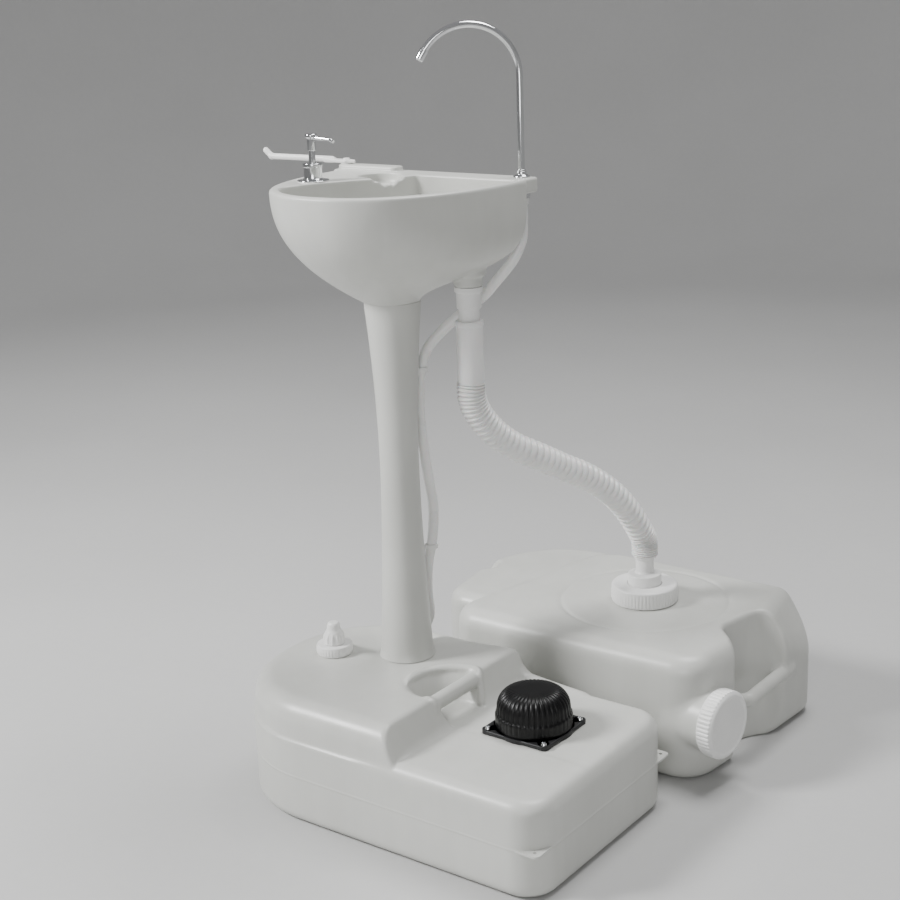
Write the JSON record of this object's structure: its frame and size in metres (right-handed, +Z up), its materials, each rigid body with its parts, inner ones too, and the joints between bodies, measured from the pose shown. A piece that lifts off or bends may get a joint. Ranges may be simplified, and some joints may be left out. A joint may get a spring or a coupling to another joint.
{
  "type": "portable wash basin",
  "caption": "Free-standing wash basin on a water tank with a foot pump, gooseneck tap, soap pump, towel arm, and a ribbed hose to a separate waste tank.",
  "frame": {"origin": "centre of the fresh water tank's underside, on the floor", "axes": "+Z up, +X along the fresh tank towards the foot pump, +Y towards the waste tank; the user stands on the -Y side"},
  "size_m": [0.7371, 0.7055, 1.0225],
  "materials": {
    "tank_plastic": "satin",
    "white_plastic": "satin",
    "black_rubber": "gloss",
    "bright_chrome": "polished",
    "spring_steel": "plain"
  },
  "bodies": {
    "stand": {"fresh_tank": "tank_plastic", "pump_gasket": "black_rubber", "pump_clamp": "black_rubber", "pump_dome": "black_rubber", "pump_spring": "spring_steel", "pump_screws": "bright_chrome", "pump_inlet_flap": "black_rubber", "pump_outlet_flap": "black_rubber", "suction_tube": "white_plastic", "suction_strainer": "white_plastic", "delivery_tube": "white_plastic", "outlet_fitting": "white_plastic", "supply_hose": "white_plastic", "hose_clip_upper": "white_plastic", "hose_clip_lower": "white_plastic", "column": "tank_plastic", "basin": "tank_plastic", "tap_bush": "bright_chrome", "tap_nut": "bright_chrome", "tap_tail": "white_plastic", "soap_bottle": "white_plastic", "soap_collar": "bright_chrome", "soap_barrel": "white_plastic", "soap_spring": "spring_steel", "soap_dip_tube": "white_plastic", "towel_pin": "white_plastic", "towel_washer": "white_plastic", "drain_strainer": "bright_chrome", "drain_gasket": "white_plastic", "drain_nut": "white_plastic", "drain_pipe": "white_plastic", "hose_cuff": "white_plastic", "drain_hose": "white_plastic", "waste_tank": "tank_plastic", "mouth_seal": "black_rubber", "hose_adaptor": "white_plastic"},
    "tap": {"tap_tube": "bright_chrome", "tap_nozzle": "bright_chrome"},
    "pump_press": {"pump_disc": "black_rubber"},
    "soap_press": {"soap_stem": "bright_chrome"},
    "soap_turn": {"soap_head": "bright_chrome"},
    "towel": {"towel_arm": "white_plastic"},
    "filler_lift": {"filler_seal": "white_plastic"},
    "filler_turn": {"filler_cap": "white_plastic"},
    "stopper": {"filler_stopper": "white_plastic"},
    "mouth_lift": {"mouth_washer": "white_plastic"},
    "mouth_turn": {"mouth_ring": "white_plastic"},
    "spout_lift": {"spout_seal": "white_plastic"},
    "spout_turn": {"spout_cap": "white_plastic"}
  },
  "joints": [
    {"name": "tap_swivel", "type": "hinge", "parent": "stand", "child": "tap", "pos_m": [0.035, 0.181, 0.823], "axis": [0, 0, 1], "continuous": true},
    {"name": "pump_stroke", "type": "slide", "parent": "stand", "child": "pump_press", "axis": [0, 0, -1], "range_m": [0, 0.03], "stiffness_N_per_m": 500, "springref_m": -0.01, "deforming": ["pump_dome", "pump_spring"]},
    {"name": "soap_stroke", "type": "slide", "parent": "stand", "child": "soap_press", "axis": [0, 0, -1], "range_m": [0, 0.012], "stiffness_N_per_m": 400, "springref_m": -0.004, "deforming": ["soap_spring"]},
    {"name": "soap_swivel", "type": "hinge", "parent": "soap_press", "child": "soap_turn", "pos_m": [-0.204, 0.044, 0.863], "axis": [0, 0, 1], "continuous": true},
    {"name": "towel_swivel", "type": "hinge", "parent": "stand", "child": "towel", "pos_m": [-0.261, 0.182, 0.832], "axis": [0, 0, 1], "range_deg": [-90, 90]},
    {"name": "filler_cap_lift", "type": "slide", "parent": "stand", "child": "filler_lift", "axis": [0, 0, 1], "range_m": [0, 0.008]},
    {"name": "filler_cap_turn", "type": "hinge", "parent": "filler_lift", "child": "filler_turn", "pos_m": [-0.18, 0.006, 0.185], "axis": [0, 0, 1], "range_deg": [0, 720]},
    {"name": "stopper_pull", "type": "slide", "parent": "filler_turn", "child": "stopper", "axis": [0, 0, 1], "range_m": [0, 0.02]},
    {"name": "mouth_ring_lift", "type": "slide", "parent": "stand", "child": "mouth_lift", "axis": [0, 0, 1], "range_m": [0, 0.008]},
    {"name": "mouth_ring_turn", "type": "hinge", "parent": "mouth_lift", "child": "mouth_turn", "pos_m": [0.102, 0.385, 0.2], "axis": [0, 0, 1], "range_deg": [0, 720]},
    {"name": "spout_cap_lift", "type": "slide", "parent": "stand", "child": "spout_lift", "axis": [0.9945, -0.1045, 0], "range_m": [0, 0.008]},
    {"name": "spout_cap_turn", "type": "hinge", "parent": "spout_lift", "child": "spout_turn", "pos_m": [0.2355, 0.251, 0.087], "axis": [0.9945, -0.1045, 0], "range_deg": [0, 720]}
  ],
  "couplings": [
    {"joint": "filler_cap_lift", "follows": "filler_cap_turn", "m_per_rad": 0.0006366},
    {"joint": "mouth_ring_lift", "follows": "mouth_ring_turn", "m_per_rad": 0.0006366},
    {"joint": "spout_cap_lift", "follows": "spout_cap_turn", "m_per_rad": 0.0006366}
  ]
}
